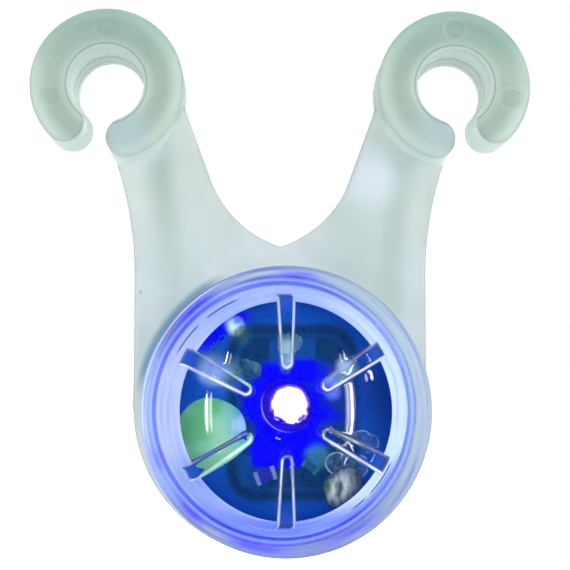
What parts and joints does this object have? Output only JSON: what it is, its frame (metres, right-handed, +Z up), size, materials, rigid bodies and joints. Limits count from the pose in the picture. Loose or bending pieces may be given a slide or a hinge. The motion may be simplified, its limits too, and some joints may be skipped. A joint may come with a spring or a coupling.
{
  "type": "spoke wheel light",
  "caption": "V-shaped translucent holder whose two C-hooks clip over wheel spokes, carrying a round coin-cell LED lamp switched by pressing its ribbed clear lens.",
  "frame": {"origin": "on the lamp's axis, at the flat back of the holder", "axes": "+Z up from the lamp towards the hooks, +X to the right as the lens is seen, +Y out of the flat back, so the lens faces -Y"},
  "size_m": [0.0494, 0.0154, 0.0539],
  "materials": {
    "holder_rubber": "translucent, soft satin, moulded",
    "case_plastic": "satin, moulded",
    "cell_steel": "brushed, nickel plated",
    "insulator_film": "matte film",
    "gasket_rubber": "soft, matte",
    "lens_clear": "clear, polished",
    "board_laminate": "solder mask, glossy",
    "led_epoxy": "clear, lit",
    "led_die": "lit",
    "plated_metal": "tin plated",
    "spring_steel": "nickel plated",
    "solder": "shiny, wet look",
    "chip_epoxy": "glossy drop",
    "chip_ceramic": "matte with metal ends",
    "switch_plastic": "matte",
    "plunger_plastic": "satin"
  },
  "bodies": {
    "holder_body": {"holder": "holder_rubber", "battery_case": "case_plastic", "coin_cell": "cell_steel", "cell_insulator": "insulator_film", "seal_gasket": "gasket_rubber"},
    "light_head": {"lens": "lens_clear", "board_clip_ring": "case_plastic", "board": "board_laminate", "led_body": "led_epoxy", "led_leads": "plated_metal", "led_die": "led_die", "chip_blob": "chip_epoxy", "chip_resistor": "chip_ceramic", "chip_capacitor": "chip_ceramic", "solder_joints": "solder", "side_contact": "plated_metal", "contact_spring": "spring_steel", "switch_body": "switch_plastic", "switch_cover": "plated_metal", "switch_terminals": "plated_metal"},
    "plunger": {"switch_plunger": "plunger_plastic"}
  },
  "joints": [
    {"name": "lens_press", "type": "slide", "parent": "holder_body", "child": "light_head", "axis": [0, 1, 0], "range_m": [0, 0.0005], "stiffness_N_per_m": 2000, "springref_m": -0.0005, "deforming": ["seal_gasket", "contact_spring"]},
    {"name": "plunger_travel", "type": "slide", "parent": "light_head", "child": "plunger", "axis": [0, -1, 0], "range_m": [0, 0.0005]}
  ],
  "couplings": [
    {"joint": "plunger_travel", "follows": "lens_press", "ratio": 1}
  ]
}
